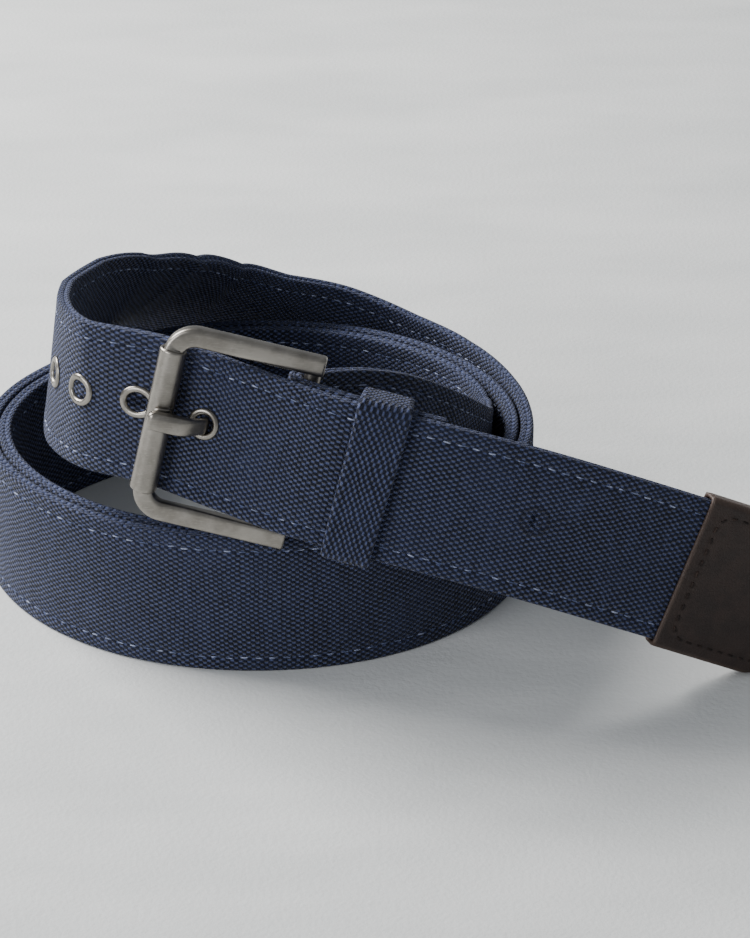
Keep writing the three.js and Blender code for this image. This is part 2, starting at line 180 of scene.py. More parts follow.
HALF_WEB = WEB_THICK / 2
LAYER = WEB_THICK + LAYER_GAP
HOLE_RISE = WEB_WIDTH / 2 + HOLE_ABOVE_MIDDLE
FOLD_RADIUS = HEEL_BAR_RADIUS + FIT_GAP + HALF_WEB
TAIL_BEHIND_ROLLER = ROLLER_RADIUS + 2 * FIT_GAP + HALF_WEB
TAIL_BEFORE_HEEL = FOLD_RADIUS - HEEL_SET_BACK + WEB_THICK + 2 * LAYER_GAP
HEEL_AT = FRAME_LENGTH - HEEL_INSET
LOW = -WEB_WIDTH / 2
WEB_CORNER = TIP_CORNER - TIP_SET_BACK

# The web's edge from the groove in its middle to its face, as rise and face: half of a fold
EDGE_FOLD = [(0.32, 0.0), (0.05, 0.3), (0.0, 0.75), (0.1, 1.2), (0.45, 1.52)]

# One face of an eyelet from its bore over its rim to the canvas, as radius and face
EYELET_OUTLINE = [
    (EYELET_BORE, 0.0),
    (EYELET_BORE, 1.5),
    (2.32, 1.98),
    (2.62, 2.24),
    (3.0, 2.3),
    (3.4, 2.2),
    (3.7, 1.95),
    (EYELET_RIM, 1.68),
    (3.72, 1.57),
    (2.95, 1.55),
    (2.7, 1.2),
    (2.7, 0.0),
]


def unit(vectors):
    """Vectors divided by their lengths."""
    vectors = np.asarray(vectors, float)
    return vectors / np.linalg.norm(vectors, axis=-1, keepdims=True)


def smooth(value, low, high):
    """A smooth step from 0 at low to 1 at high."""
    share = np.clip((value - low) / (high - low), 0, 1)
    return share * share * (3 - 2 * share)


def bump(value, middle, width):
    """A bell: 1 at the middle and about a third one width away from it."""
    return np.exp(-(((value - middle) / width) ** 2))


def full_turn(count):
    """Even angles round a full circle, the last one short of the first."""
    return np.linspace(0, 2 * np.pi, count, endpoint=False)


def quarter_sines(step):
    """Sines of a quarter circle's angles, a step of degrees apart."""
    return np.sin(np.radians(np.arange(0, 91, step)))


def walked(points):
    """The length along a line of points, from 0 at the first."""
    return np.concatenate([[0], np.cumsum(np.linalg.norm(np.diff(points, axis=0), axis=1))])


# The web's path


def buckle_axes():
    """Along the rails, across them and out of the face: yaw and fall turn the first, and the
    second is upright, leaned about the first."""
    yaw, fall, lean = map(math.radians, (BUCKLE_YAW, BUCKLE_FALL, BUCKLE_LEAN))
    run = np.array(
        [math.cos(yaw) * math.cos(fall), math.sin(yaw) * math.cos(fall), -math.sin(fall)]
    )
    rise = unit(UP - run * run[2])
    rise = rise * math.cos(lean) - np.cross(run, rise) * math.sin(lean)
    return run, rise, np.cross(run, rise)


RUN, RISE, FACE = buckle_axes()
ROLLER_MIDDLE = BUCKLE_PLACE + RISE * WEB_WIDTH / 2 + FACE * TAIL_BEHIND_ROLLER


def in_buckle(run, rise, face):
    """A place given along, across and out of the buckle, for single values or whole arrays."""
    run, rise, face = (np.asarray(v, float)[..., None] for v in (run, rise, face))
    return ROLLER_MIDDLE + RUN * run + RISE * rise + FACE * face


def coil_point(angle):
    """A spiral: the shape's radius, smooth through its rows, plus a layer for each turn."""
    step = 360 / len(COIL_SHAPE)
    at, part = divmod((angle % 360) / step, 1)
    a, b, c, d = (COIL_SHAPE[(int(at) + i) % len(COIL_SHAPE)] for i in (-1, 0, 1, 2))
    share = b + 0.5 * part * (
        c - a + part * (2 * a - 5 * b + 4 * c - d + part * (3 * (b - c) + d - a))
    )
    radius = share * COIL_RADIUS + (angle - COIL_START) / 360 * LAYER
    turn = math.radians(angle)
    return np.array([radius * math.cos(turn), radius * math.sin(turn), 0.0])


def across_at(before, after, lean):
    """Upright, square to the way from before to after, leaned inward."""
    run = unit(after - before)
    upright = unit(UP - run * run[2])
    inward = np.cross(UP, unit(run * [1, 1, 0]))
    lean = math.radians(lean)
    return unit(upright * math.cos(lean) + inward * math.sin(lean))


def web_controls():
    """The lower edge's places and the directions across the web, from the folded end to the
    tail's end: behind the tail, round the heel bar, into the coil, round it, over it to the
    buckle, over the heel bar and down to the surface."""
    heel = in_buckle(HEEL_AT, LOW, TAIL_BEFORE_HEEL)
    tail = [
        (np.array([heel[0] + x * TAIL_REACH, heel[1] + y * TAIL_REACH, z * TAIL_DROP]), lean)
        for x, y, z, lean in TAIL_RUN
    ]
    rows = []
    for i in (1, 0):
        before = tail[i - 1][0] if i else heel
        run = unit(tail[i + 1][0] - before)
        rise = across_at(before, tail[i + 1][0], tail[i][1])
        rows.append((tail[i][0] - np.cross(run, rise) * LAYER, rise))
    for turn in np.radians(np.arange(0, 181, 30)):
        run = HEEL_AT - FOLD_RADIUS * math.sin(turn)
        rows.append((in_buckle(run, LOW, FOLD_RADIUS * math.cos(turn) - HEEL_SET_BACK), RISE))
    heel_height = in_buckle(HEEL_AT, LOW, 0)[2]
    scale = np.array([COIL_RADIUS, COIL_RADIUS, heel_height])
    rows += [(np.array(row[:3]) * scale, row[3]) for row in DESCENT]
    rows += [(coil_point(a), 0) for a in range(COIL_MEETS, COIL_END + 1, COIL_STEP)]
    scale = np.array([COIL_RADIUS, COIL_RADIUS, LOOP_RISE])
    rows += [(np.array(row[:3]) * scale, row[3]) for row in CLIMB]
    rows.append((in_buckle(0, LOW, -TAIL_BEHIND_ROLLER), RISE))
    rows.append((in_buckle(HEEL_AT / 2, LOW, (TAIL_BEFORE_HEEL - TAIL_BEHIND_ROLLER) / 2), RISE))
    rows.append((heel, RISE))
    rows += tail
    places = np.array([row[0] for row in rows])
    rises = [
        row[1]
        if isinstance(row[1], np.ndarray)
        else across_at(places[max(i - 1, 0)], places[min(i + 1, len(rows) - 1)], row[1])
        for i, row in enumerate(rows)
    ]
    return places, np.array(rises)


def spline(points, t):
    """A centripetal Catmull-Rom curve through points at t from 0 to 1: each span is a cubic
    whose end slopes come from the roots of the neighbouring distances."""
    points = np.vstack([2 * points[0] - points[1], points, 2 * points[-1] - points[-2]])
    span = t * (len(points) - 3)
    first = np.clip(np.floor(span).astype(int), 0, len(points) - 4)
    part = (span - first)[:, None]
    a, b, c, d = (points[first + i] for i in range(4))
    ab, bc, cd = (
        np.sqrt(np.linalg.norm(end - start, axis=1))[:, None]
        for start, end in ((a, b), (b, c), (c, d))
    )
    slope_b = ((b - a) / ab - (c - a) / (ab + bc) + (c - b) / bc) * bc
    slope_c = ((c - b) / bc - (d - b) / (bc + cd) + (d - c) / cd) * bc
    square = 3 * (c - b) - 2 * slope_b - slope_c
    cube = 2 * (b - c) + slope_b + slope_c
    return b + part * (slope_b + part * (square + part * cube))


def web_path():
    """The web's length at close stations, with the place, the way along, across and out of
    the web there."""
    places, rises = web_controls()
    t = np.linspace(0, 1, 9001)
    at = spline(places, t)
    along = unit(np.gradient(at, axis=0))
    at[:, 2] = np.maximum(at[:, 2], 0)
    length = walked(at)
    index = t * (len(places) - 1)
    first = np.minimum(index.astype(int), len(places) - 2)
    part = (index - first)[:, None]
    across = rises[first] * (1 - part) + rises[first + 1] * part
    across = unit(across - along * np.sum(across * along, axis=1, keepdims=True))
    return length, at, along, across, np.cross(along, across)


PATH_LENGTH, PATH_AT, PATH_ALONG, PATH_ACROSS, PATH_FACE = web_path()
WEB_LENGTH = PATH_LENGTH[-1]


def on_path(length, values):
    """Values of the path's stations at any lengths."""
    return np.stack([np.interp(length, PATH_LENGTH, values[:, i]) for i in range(3)], axis=-1)


def on_web(length, rise, face):
    """Places on the web. Past its ends they go straight on."""
    length, rise, face = np.broadcast_arrays(*(np.asarray(v, float) for v in (length, rise, face)))
    beyond = (length - np.clip(length, 0, WEB_LENGTH))[..., None]
    return (
        on_path(length, PATH_AT)
        + on_path(length, PATH_ALONG) * beyond
        + on_path(length, PATH_ACROSS) * rise[..., None]
        + on_path(length, PATH_FACE) * face[..., None]
    )


def length_near(place, start):
    """The length, past start, at which the lower edge is nearest to a place."""
    gap = np.linalg.norm(PATH_AT - place, axis=1) + (PATH_LENGTH < start) * 1e6
    return PATH_LENGTH[np.argmin(gap)]


ROLLER_AT = length_near(in_buckle(0, LOW, -TAIL_BEHIND_ROLLER), WEB_LENGTH * 0.7)
HEEL_LENGTH = length_near(in_buckle(HEEL_AT, LOW, TAIL_BEFORE_HEEL), ROLLER_AT)
FOLD_AT = length_near(in_buckle(HEEL_AT, LOW, FOLD_RADIUS - HEEL_SET_BACK), 0)
PRONG_HOLE_AT = ROLLER_AT + PRONG_HOLE_FROM_ROLLER
PLAIN_HOLE_AT = PRONG_HOLE_AT + PLAIN_HOLE_FROM_PRONG
EYELETS_AT = [PRONG_HOLE_AT - i * HOLE_PITCH for i in range(EYELETS)]
TIP_START = WEB_LENGTH - TIP_LENGTH

# The drawing's origin is the coil's middle. The frame says where that is: the roller's box
# has the roller's middle at its own.
low_corner, high_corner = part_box("roller")
SHIFT = np.array((low_corner + high_corner) / 2) - ROLLER_MIDDLE * MM


def in_metres(points):
    """The drawing's millimetres as the frame's metres."""
    return np.asarray(points, float) * MM + SHIFT


# Meshes


def new_piece(name, points, faces, uv=None):
    """A piece of its points in millimetres, its faces and, where a pattern follows the
    surface, the places of its points on the flat cloth in millimetres."""
    mesh = bpy.data.meshes.new(name)
    mesh.from_pydata(in_metres(points).reshape(-1, 3).tolist(), [], faces)
    if uv is not None:
        layer = mesh.uv_layers.new(name="cloth")
        corner = np.empty(len(mesh.loops), np.int32)
        mesh.loops.foreach_get("vertex_index", corner)
        layer.data.foreach_set("uv", (np.asarray(uv).reshape(-1, 2)[corner] * MM).ravel())
    mesh.shade_smooth()
    mesh.validate()
    piece = bpy.data.objects.new(name, mesh)
    bpy.context.scene.collection.objects.link(piece)
    return piece


def grid_faces(rows, columns, start=0, round_columns=True, round_rows=False):
    """Four-cornered faces between the rows and columns of a grid of points."""
    last_row = rows if round_rows else rows - 1
    last_column = columns if round_columns else columns - 1
    i, j = np.meshgrid(np.arange(last_row), np.arange(last_column), indexing="ij")
    i, j = i.ravel(), j.ravel()
    next_i, next_j = (i + 1) % rows, (j + 1) % columns
    here, beyond = i * columns, next_i * columns
    corners = [here + j, here + next_j, beyond + next_j, beyond + j]
    return (np.stack(corners, axis=1) + start).tolist()


def tube_faces(rows, columns, start=0):
    """A grid closed round its columns, with a face over each end."""
    ends = [list(range(columns))[::-1], [(rows - 1) * columns + j for j in range(columns)]]
    return grid_faces(rows, columns, start) + [[start + j for j in end] for end in ends]


def superellipse(count, power):
    """Sine and cosine raised to 2 / power, which squares the circle as power grows."""
    turn = full_turn(count)
    cosine, sine = np.cos(turn), np.sin(turn)
    return (
        np.sign(cosine) * np.abs(cosine) ** (2 / power),
        np.sign(sine) * np.abs(sine) ** (2 / power),
    )


# Web


def web_section():
    """The web's outline as rise and face, for one half: a doubled canvas has a groove along
    the middle of its edge, a rounded fold each side of it and a dip along each seam. The
    front half runs up and the back half runs down."""
    edge = EDGE_FOLD + [(1.1, HALF_WEB), (FLAT_FROM_EDGE, HALF_WEB)]
    dip = [
        (SEAM_INSET - SEAM_DIP_HALF, HALF_WEB - 0.02),
        (SEAM_INSET, HALF_WEB - SEAM_DIP),
        (SEAM_INSET + SEAM_DIP_HALF, HALF_WEB - 0.02),
    ]
    middle = [(rise, HALF_WEB) for rise in np.linspace(6, WEB_WIDTH / 2, 5)]
    lower = edge + dip + middle
    upper = [(WEB_WIDTH - rise, face) for rise, face in lower[-2::-1]]
    front = np.array(lower + upper)
    back = front[-2:0:-1] * [1, -1]
    return np.vstack([front, back])


def cutters():
    """Round pins through the web at its holes, and the slot that the prong turns in: a bar
    round the fold. Both are grids in the web's own sizes."""
    points, faces = [], []
    sides, slot_stations = 32, 40
    turn = full_turn(sides)
    face = HALF_WEB + LAYER_GAP / 2
    through = np.array([[-face], [face]])
    holes = [(at, EYELET_HOLE_RADIUS) for at in EYELETS_AT] + [(PLAIN_HOLE_AT, PLAIN_HOLE_RADIUS)]
    for at, radius in holes:
        pin = on_web(at + radius * np.cos(turn), HOLE_RISE - radius * np.sin(turn), through)
        faces += tube_faces(2, sides, sum(map(len, points)))
        points.append(pin.reshape(-1, 3))
    half = PRONG_RADIUS + PRONG_SLOT_MARGIN
    quarter_fold = math.pi / 2 * FOLD_RADIUS
    reach = quarter_fold + HEEL_BAR_RADIUS + FIT_GAP + PRONG_EYE_WALL + PRONG_SLOT_MARGIN
    middle = FOLD_AT + quarter_fold
    along = np.linspace(middle - reach, middle + reach, slot_stations)[:, None]
    slot = on_web(
        along,
        HOLE_RISE + np.array([-half, half, half, -half]),
        np.array([-face, -face, face, face]),
    )
    faces += tube_faces(slot_stations, 4, sum(map(len, points)))
    points.append(slot.reshape(-1, 3))
    return new_piece("cutters", np.vstack(points), faces)


def cut_away(piece, tool):
    """Takes the tool's solid out of the piece for good and keeps the cuts' edges sharp."""
    cut = piece.modifiers.new("cut", "BOOLEAN")
    cut.operation = "DIFFERENCE"
    cut.solver = "MANIFOLD"
    cut.object = tool
    ready = piece.evaluated_get(bpy.context.evaluated_depsgraph_get())
    mesh = bpy.data.meshes.new_from_object(ready)
    piece.modifiers.clear()
    old, piece.data = piece.data, mesh
    bpy.data.meshes.remove(old)
    bpy.data.objects.remove(tool)
    mesh.set_sharp_from_angle(angle=SHARP_EDGE)
    return piece


def web():
    """The web's outline carried along its path, with rounded corners at the tail's end, and
    its holes cut out."""
    rise, face = web_section().T
    middle = WEB_WIDTH / 2
    corner_from = WEB_LENGTH - WEB_CORNER
    length = np.linspace(0, WEB_LENGTH, int(WEB_LENGTH / WEB_STATION))
    length = np.append(
        length[length < corner_from], WEB_LENGTH - WEB_CORNER * (1 - quarter_sines(10))
    )
    into_corner = np.clip(length - corner_from, 0, WEB_CORNER)
    narrower = (WEB_CORNER - np.sqrt(WEB_CORNER**2 - into_corner**2))[:, None]
    points = on_web(length[:, None], middle + (rise - middle) * (1 - narrower / middle), face)
    beside = np.where(np.abs(face) < 1.2, HALF_WEB - np.abs(face), 0)
    flat_rise = rise - np.sign(middle - rise) * beside
    uv = np.stack(np.broadcast_arrays(length[:, None], flat_rise), axis=-1)
    piece = new_piece("web_canvas", points, tube_faces(len(length), len(rise)), uv)
    return cut_away(piece, cutters())


def stitches(name, path, thread=STITCH_RADIUS, sides=6):
    """A row of thread stitches. Each is a small tube whose ends dip into the cloth and are
    drawn thin. path gives, for each stitch, its points as length, rise and face."""
    share = np.linspace(-1, 1, 6)
    turn = full_turn(sides)
    radius = thread * np.sqrt(np.clip(1.08 - share**4, 0, 1))[:, None]
    lift = (thread * 0.55 - 1.5 * thread * share**6)[:, None] + radius * np.sin(turn)
    side = radius * np.cos(turn)
    length, rise, face, run_length, run_rise = (v[:, None, None] for v in path)
    sign = np.sign(face)
    half = STITCH_LENGTH / 2 * share[:, None]
    points = on_web(
        length + run_length * half - run_rise * side * sign,
        rise + run_rise * half + run_length * side * sign,
        face + sign * lift,
    )
    count = len(path[0])
    one = np.array(grid_faces(len(share), sides))
    first = (np.arange(count) * len(share) * sides)[:, None, None]
    faces = (one + first).reshape(-1, 4).tolist()
    ends = np.array([np.arange(sides)[::-1], (len(share) - 1) * sides + np.arange(sides)])
    faces += (ends + first).reshape(-1, sides).tolist()
    return new_piece(name, points, faces)


def web_seams():
    """Rows of stitches inside both edges on both faces, with every stitch a little uneven."""
    draw = np.random.default_rng(7)
    at = np.arange(2.5, TIP_START - 0.5, STITCH_PITCH)
    rows = []
    for rise in (SEAM_INSET, WEB_WIDTH - SEAM_INSET):
        for face in (HALF_WEB - 0.26, 0.26 - HALF_WEB):
            slant = draw.normal(0, 0.05, len(at))
            rows.append(
                [
                    at + draw.normal(0, 0.12, len(at)),
                    rise + draw.normal(0, 0.09, len(at)),
                    np.full(len(at), face),
                    np.cos(slant),
                    np.sin(slant),
                ]
            )
    return stitches("web_stitching", np.concatenate(rows, axis=1))


# Keeper and leather tip


def rounded_box(count, low, high, back, front, corner):
    """Points evenly spaced round a rectangle with round corners, as rise and face, with the
    way out of it at each."""
    steps = 9
    quarter = np.repeat(np.arange(4), steps)
    turn = np.concatenate([np.linspace(q * np.pi / 2, (q + 1) * np.pi / 2, steps) for q in range(4)])
    middle_rise = np.where((quarter == 0) | (quarter == 3), high - corner, low + corner)
    middle_face = np.where(quarter < 2, front - corner, back + corner)
    outline = np.stack(
        [middle_rise + corner * np.cos(turn), middle_face + corner * np.sin(turn)], axis=1
    )
    closed = np.vstack([outline, outline[:1]])
    walk = walked(closed)
    at = np.linspace(0, walk[-1], count, endpoint=False)
    angle = np.interp(at, walk, np.append(turn, 2 * np.pi))
    rise, face = (np.interp(at, walk, closed[:, i]) for i in (0, 1))
    return rise, face, np.cos(angle), np.sin(angle), at


def keeper():
    """A band's outline carried round a rectangle with round corners. The band is thicker at
    its folded edges, with a ridge of close ribs there."""
    start = HEEL_LENGTH + FRAME_LENGTH - HEEL_AT + KEEPER_FROM_FRAME
    wall = KEEPER_WALL / 2
    stations, sides = 260, 44
    rise, face, out_rise, out_face, walk = rounded_box(
        stations,
        -FIT_GAP - wall,
        WEB_WIDTH + FIT_GAP + wall,
        -HALF_WEB - LAYER - KEEPER_ROOM - wall,
        HALF_WEB + FIT_GAP + wall,
        KEEPER_CORNER,
    )
    across, thick = superellipse(sides, 4.5)
    across = across * KEEPER_WIDTH / 2
    fold = bump(np.abs(across), KEEPER_FOLD_AT, 0.62)
    seam = bump(np.abs(across), KEEPER_SEAM_AT, 0.3)
    ribs = np.cos(walk[:, None] * 2 * np.pi / KEEPER_RIB_PITCH + np.sign(across))
    depth = thick * (0.92 + (0.2 + 0.09 * ribs) * fold - 0.16 * seam) * wall
    sway = 0.16 * np.sin(walk / 17 + 1.0) + 0.1 * np.sin(walk / 6.1)
    points = on_web(
        start + KEEPER_WIDTH / 2 + across + sway[:, None],
        rise[:, None] + out_rise[:, None] * depth,
        face[:, None] + out_face[:, None] * depth,
    )
    uv = np.stack(np.broadcast_arrays(walk[:, None], across), axis=-1)
    return new_piece("keeper_canvas", points, grid_faces(stations, sides, round_rows=True), uv)


def tip_rings(reach, half_rise, half_face, corner, face_corner, ring):
    """Rings of a rounded box, drawn in towards the end by two quarter circles: a wide one in
    the rise and a small one in the thickness."""
    narrow, thin = (
        radius - np.sqrt(radius**2 - np.clip(reach - (reach.max() - radius), 0, radius) ** 2)
        for radius in (corner, face_corner)
    )
    return ring[0] * (half_rise - narrow)[:, None], ring[1] * (half_face - thin)[:, None]


def leather_tip():
    """A cover of leather: rings of a rounded box along the web's end, drawn in round its
    corners, with a rolled lip at its mouth and a pocket inside for the web."""
    count = 72
    half_rise = WEB_WIDTH / 2 + TIP_SET_BACK
    half_face = HALF_WEB + FIT_GAP + TIP_WALL
    outline = rounded_box(count, -half_rise, half_rise, -half_face, half_face, TIP_EDGE_ROUND)
    ring = outline[0] / half_rise, outline[1] / half_face
    corner = quarter_sines(7.5)[1:]
    body = np.linspace(0, TIP_LENGTH + TIP_END - TIP_CORNER, 24)
    reach = np.concatenate([body, body[-1] + corner * TIP_CORNER])
    rise, face = tip_rings(reach, half_rise, half_face, TIP_CORNER, TIP_EDGE_ROUND, ring)
    puff = 0.16 * np.sin(np.clip(reach / (TIP_LENGTH + TIP_END), 0, 1) * np.pi)[:, None]
    seam_rise = half_rise - TIP_SEAM_INSET
    seam = bump(np.abs(rise), seam_rise, 0.55)
    seam = seam + bump(reach, TIP_SEAM_INSET, 0.55)[:, None] * (np.abs(rise) < seam_rise)
    flat_face = np.abs(ring[1]) > 0.97
    face = np.where(flat_face, face + np.sign(face) * (puff - 0.3 * seam), face)
    outer = np.stack([np.broadcast_to(reach[:, None], rise.shape), rise, face], axis=-1)

    room = half_face - TIP_WALL
    room_rise = WEB_WIDTH / 2 + FIT_GAP
    pocket_corner = WEB_CORNER + FIT_GAP
    pocket = np.linspace(TIP_LIP, TIP_LENGTH + FIT_GAP - pocket_corner, 12)
    deep = np.concatenate([pocket, pocket[-1] + corner * pocket_corner])
    rise, face = tip_rings(deep, room_rise, room, pocket_corner, 0.3, ring)
    inner = np.stack([np.broadcast_to(deep[:, None], rise.shape), rise, face], axis=-1)

    lip_turn = np.radians([150, 110, 70, 30])[:, None]
    lip = inner[0] + (outer[0] - inner[0]) * ((1 + np.cos(lip_turn)) / 2)[..., None]
    lip[..., 0] = TIP_LIP * (1 - np.sin(lip_turn))
    places = np.concatenate([inner[::-1], lip, outer[1:]])
    points = on_web(TIP_START + places[..., 0], places[..., 1] + WEB_WIDTH / 2, places[..., 2])
    uv = places[..., :2] + [0, half_rise]
    return new_piece("tip_leather", points, tube_faces(len(places), count), uv)


def tip_seam():
    """A stitch row round the leather's face, a set distance inside its outline."""
    half_rise = WEB_WIDTH / 2 + TIP_SET_BACK - TIP_SEAM_INSET
    end = TIP_LENGTH + TIP_END - TIP_SEAM_INSET
    around = 2 * (2 * half_rise + end - TIP_SEAM_INSET)
    rise, run, *_ = rounded_box(
        int(around / TIP_STITCH_PITCH), -half_rise, half_rise, TIP_SEAM_INSET, end, TIP_SEAM_CORNER
    )
    row = np.stack([run, rise], axis=1)
    way = unit(np.roll(row, -1, axis=0) - np.roll(row, 1, axis=0)).T
    face = np.full(len(run), HALF_WEB + FIT_GAP + TIP_WALL - 0.18)
    rows = [[TIP_START + run, rise + WEB_WIDTH / 2, side * face, *way] for side in (1, -1)]
    return stitches("tip_stitching", np.concatenate(rows, axis=1), thread=0.3)


# Buckle


def carried(places, half_side, half_face, power, count=32, side=None):
    """A squared circle carried along a path in the buckle's plane: places are along, across
    and out; half_side is measured in the plane and half_face out of it."""
    places = np.asarray(places, float)
    way = unit(np.gradient(places, axis=0))
    side = np.cross([0.0, 0.0, 1.0], way) if side is None else np.broadcast_to(side, way.shape)
    side = unit(side)
    out = np.cross(way, side)
    wide, deep = superellipse(count, power)
    ring = (
        places[:, None]
        + side[:, None] * (np.asarray(half_side)[:, None] * wide)[..., None]
        + out[:, None] * (np.asarray(half_face)[:, None] * deep)[..., None]
    )
    points = in_buckle(ring[..., 0], ring[..., 1], ring[..., 2])
    return points, tube_faces(len(places), count)


def joined(name, parts):
    """One piece of several closed meshes."""
    start, points, faces = 0, [], []
    for part_points, part_faces in parts:
        part_points = part_points.reshape(-1, 3)
        faces += [[start + corner for corner in face] for face in part_faces]
        points.append(part_points)
        start += len(part_points)
    return new_piece(name, np.vstack(points), faces)


def round_ends(length, half, reach):
    """Half-sizes drawn in by a quarter circle over the last reach at each end."""
    into = np.clip(reach - np.minimum(length, length[-1] - length), 0, reach)
    return half - reach + np.sqrt(np.maximum(reach**2 - into**2, 0))


def end_spaced(start, end, reach, middle):
    """Values from start to end, close together where the ends are drawn in."""
    ease = reach * (1 - np.cos(np.radians(np.arange(0, 91, 15))))
    between = np.linspace(start + reach, end - reach, middle)[1:-1]
    return np.concatenate([start + ease, between, (end - ease)[::-1]])


def buckle_frame():
    """A squared bar carried round a U: a rail, a bend, the roller's pin, a bend and a rail. It
    narrows to the pin at two shoulders. The heel bar is a pin through both rails' ends."""
    rail_at = WEB_WIDTH / 2 + RAIL_CLEARANCE + RAIL_HEIGHT / 2
    shoulder = ROLLER_LENGTH / 2 + ROLLER_SEAT
    turn = np.radians(np.arange(90, 181, 6))
    bend = [RAIL_BEND, rail_at - RAIL_BEND] + RAIL_BEND * np.column_stack([np.cos(turn), np.sin(turn)])
    bend = bend[bend[:, 1] > shoulder + 2 * SHOULDER_STEP]
    run = end_spaced(RAIL_BEND, FRAME_LENGTH, RAIL_ROUND, 26)[::-1][:-7]
    rail = np.column_stack([run, np.full(len(run), rail_at)])
    pin = [[0.0, shoulder + past] for past in (SHOULDER_STEP, 0, -0.5, -6)]
    half = np.vstack([rail, bend, pin])
    whole = np.vstack([half, half[::-1] * [1, -1]])
    walk = walked(whole)
    in_pin = np.abs(whole[:, 1]) < shoulder + 0.5 * SHOULDER_STEP
    near_pin = np.abs(whole[:, 1]) < shoulder + 1.5 * SHOULDER_STEP
    side = np.where(in_pin, FRONT_BAR_RADIUS, RAIL_HEIGHT / 2)
    side = np.where(near_pin & ~in_pin, RAIL_HEIGHT / 2 - 0.15, side)
    swell = 1.0 + 0.16 * smooth(-whole[:, 0], -7, -1)
    face = np.where(in_pin, FRONT_BAR_RADIUS, RAIL_THICK / 2 * swell)
    side, face = (round_ends(walk, half, RAIL_ROUND) for half in (side, face))
    bar = carried(np.column_stack([whole, np.zeros(len(whole))]), side, face, 4.6, 48)
    across = end_spaced(-rail_at - 1.0, rail_at + 1.0, 0.5, 12)
    level = np.ones(len(across))
    heel = np.column_stack([HEEL_AT * level, across, -HEEL_SET_BACK * level])
    half = round_ends(across - across[0], HEEL_BAR_RADIUS * level, 0.5)
    return joined("buckle_metal", [bar, carried(heel, half, half, 2)])


def roller():
    """A tube turned about the front bar, with rounded ends and a fine groove round the place
    where the prong's tip lies."""
    half = ROLLER_LENGTH / 2
    body, sides = 150, 120
    turn = np.radians(np.arange(0, 91, 18))
    centre = [half - ROLLER_ROUND, ROLLER_RADIUS - ROLLER_ROUND]
    outer_end = centre + ROLLER_ROUND * np.column_stack([np.sin(turn), np.cos(turn)])
    barrel = np.column_stack([np.linspace(-centre[0], centre[0], body), np.full(body, ROLLER_RADIUS)])
    bore = [[across, ROLLER_BORE] for across in (half - 0.1, half - 2, 2 - half, 0.1 - half)]
    profile = np.vstack([outer_end[::-1] * [-1, 1], barrel[1:-1], outer_end, bore])
    around = full_turn(sides)
    across, radius = profile[:, :1], profile[:, 1:]
    arc = (np.mod(around + np.pi, 2 * np.pi) - np.pi) * ROLLER_RADIUS
    nose = np.hypot(across - HOLE_ABOVE_MIDDLE, np.minimum(arc, 0) * 1.1)
    groove = bump(nose, PRONG_RADIUS + 0.55, 0.16) * (arc < 2.6)
    radius = radius - 0.16 * groove * (radius > ROLLER_RADIUS - 0.01)
    points = in_buckle(radius * np.sin(around), across + 0 * around, radius * np.cos(around))
    turned = grid_faces(len(profile), sides, round_rows=True)
    return new_piece("roller_metal", points, [face[::-1] for face in turned])


def prong():
    """A rod carried along a smooth path: over the roller, down through the hole and back to
    an eye on the heel bar. It is blunt at its tip and thinner past the hole."""
    eye_middle = HEEL_BAR_RADIUS + FIT_GAP + PRONG_EYE_WALL / 2
    front = ROLLER_RADIUS + FIT_GAP + PRONG_RADIUS
    hole = PRONG_HOLE_FROM_ROLLER
    slope = (TAIL_BEFORE_HEEL + TAIL_BEHIND_ROLLER) / HEEL_AT
    behind = HALF_WEB + LAYER_GAP + 2 * PRONG_SHANK_HALF

    def tail(run):
        """How far out the middle of the tail's thickness lies, on its slope."""
        return run * slope - TAIL_BEHIND_ROLLER

    rows = [
        (-PRONG_TIP_OVER, front - 0.15),
        (1.5, front),
        (hole - 4.4, front - 0.7),
        (hole - 1.1, tail(hole) + HALF_WEB + 1.6),
        (hole, tail(hole)),
        (hole + 1.5, tail(hole) - HALF_WEB - 1.9),
        (hole + 6, tail(hole + 6) - behind - 1.2),
        (HEEL_AT - eye_middle - 3, -HEEL_SET_BACK - 0.6),
        (HEEL_AT - eye_middle - 0.3, -HEEL_SET_BACK),
    ]
    share = np.linspace(0, 1, 140) ** 1.25
    places = spline(np.array([(run, HOLE_ABOVE_MIDDLE, face) for run, face in rows]), share)
    walk = walked(places)
    nose = np.sqrt(np.clip(1 - (1 - np.minimum(walk / 1.7, 1)) ** 2.4, 0.02, 1))
    thin = smooth(places[:, 0], hole - 6, hole - 2)
    half_side = PRONG_RADIUS * (1.2 - 0.15 * thin) * nose
    half_face = nose * (PRONG_RADIUS * 0.95 * (1 - thin) + PRONG_SHANK_HALF * thin)
    rod = carried(places, half_side, half_face, 3.6, 40, side=[0.0, 1.0, 0.0])
    stations, sides = 48, 24
    turn = full_turn(stations)[:, None]
    wide, deep = superellipse(sides, 4)
    radius = eye_middle + deep * PRONG_EYE_WALL / 2
    eye = in_buckle(
        HEEL_AT + radius * np.cos(turn),
        HOLE_ABOVE_MIDDLE + wide * PRONG_RADIUS + 0 * turn,
        -HEEL_SET_BACK + radius * np.sin(turn),
    )
    return joined("prong_metal", [rod, (eye, grid_faces(stations, sides, round_rows=True))])


